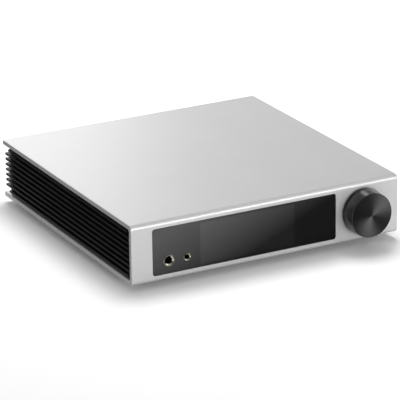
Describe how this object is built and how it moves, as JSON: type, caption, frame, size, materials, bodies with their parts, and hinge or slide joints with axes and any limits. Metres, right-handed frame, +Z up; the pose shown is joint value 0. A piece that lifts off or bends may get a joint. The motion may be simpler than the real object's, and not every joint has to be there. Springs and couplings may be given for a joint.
{
  "type": "network music streamer",
  "caption": "Low square streamer in a wrapped aluminium case with finned sides, a dark window with two headphone jacks, a turning push knob and rear sockets.",
  "frame": {"origin": "middle of the overall footprint, knob and rear sockets included, on the plane the feet rest on", "axes": "+Y from the front towards the rear, +Z up, +X to the right seen from the front"},
  "size_m": [0.26, 0.2852, 0.06],
  "materials": {
    "satin_aluminium": "bead-blasted and clear anodised aluminium",
    "black_aluminium": "black anodised aluminium extrusion",
    "black_glass": "black printed cover glass",
    "dark_knob": "spun, dark grey anodised aluminium",
    "gold": "gold plated brass",
    "black_plastic": "moulded black plastic",
    "gloss_plastic": "polished black plastic",
    "white_plastic": "moulded pale plastic",
    "panel_paint": "black painted rear panel",
    "steel": "plated steel",
    "black_steel": "blackened steel screws",
    "rubber": "moulded rubber",
    "circuit_board": "green solder mask",
    "tape": "foam tape",
    "display": "display module in a dark frame",
    "ferrite": "ferrite",
    "winding": "yellow wound tape",
    "capacitor_sleeve": "shrunk sleeve",
    "thermal_pad": "soft thermal pad",
    "cable": "insulated wire and ribbon"
  },
  "bodies": {
    "case": {"case_sleeve": "satin_aluminium", "left_heatsink": "black_aluminium", "right_heatsink": "black_aluminium", "rear_panel": "panel_paint", "countersunk_screws": "black_steel", "pan_head_screws": "steel", "feet": "rubber", "foot_screws": "steel", "front_glass": "black_glass", "glass_tape": "tape", "display_panel": "display", "display_board": "circuit_board", "front_bracket": "steel", "encoder_bushing": "steel", "encoder_body": "black_plastic", "encoder_nut": "steel", "encoder_washer": "steel", "encoder_board": "circuit_board", "large_jack_ferrule": "gold", "large_jack_body": "black_plastic", "small_jack_ferrule": "gold", "small_jack_body": "black_plastic", "headphone_board": "circuit_board", "main_board": "circuit_board", "power_supply_board": "circuit_board", "standoffs": "gold", "streaming_module": "circuit_board", "module_shield": "steel", "thermal_pad": "thermal_pad", "heat_bridge": "satin_aluminium", "signal_chips": "black_plastic", "board_capacitors": "capacitor_sleeve", "supply_capacitors": "capacitor_sleeve", "transformer_core": "ferrite", "transformer_winding": "winding", "mains_filter_coil": "winding", "supply_heatsink": "black_aluminium", "mains_inlet": "black_plastic", "inlet_pins": "steel", "power_switch_housing": "black_plastic", "network_socket": "steel", "usb_host_socket": "steel", "usb_device_socket": "steel", "rca_housings": "white_plastic", "rca_shells": "gold", "xlr_sockets": "black_plastic", "xlr_pins": "gold", "optical_socket": "black_plastic", "aerial_window": "gloss_plastic", "aerial_board": "circuit_board", "signal_cables": "cable", "mains_wires": "cable"},
    "push_stem": {"encoder_plunger": "black_plastic"},
    "knob": {"volume_knob": "dark_knob", "knob_grub_screw": "black_steel", "encoder_shaft": "steel"},
    "rocker": {"power_rocker": "gloss_plastic"},
    "fuse_carrier": {"fuse_drawer": "black_plastic", "fuse": "white_plastic"},
    "shutter": {"optical_shutter": "black_plastic"}
  },
  "joints": [
    {"name": "knob_push", "type": "slide", "parent": "case", "child": "push_stem", "axis": [0, 1, 0], "range_m": [0, 0.0005], "stiffness_N_per_m": 900, "springref_m": -0.003},
    {"name": "knob_turn", "type": "hinge", "parent": "push_stem", "child": "knob", "pos_m": [0.0945, -0.12665, 0.0334], "axis": [0, 1, 0], "continuous": true},
    {"name": "mains_switch", "type": "hinge", "parent": "case", "child": "rocker", "pos_m": [0.06743, 0.13485, 0.0332], "axis": [1, 0, 0], "range_deg": [0, 18]},
    {"name": "fuse_drawer_slide", "type": "slide", "parent": "case", "child": "fuse_carrier", "axis": [0, 1, 0], "range_m": [0, 0.014]},
    {"name": "shutter_swing", "type": "hinge", "parent": "case", "child": "shutter", "pos_m": [-0.00782, 0.1326, 0.02485], "axis": [-1, 0, 0], "range_deg": [0, 82], "stiffness_Nm_per_rad": 0.0004, "springref_deg": -22.92}
  ]
}
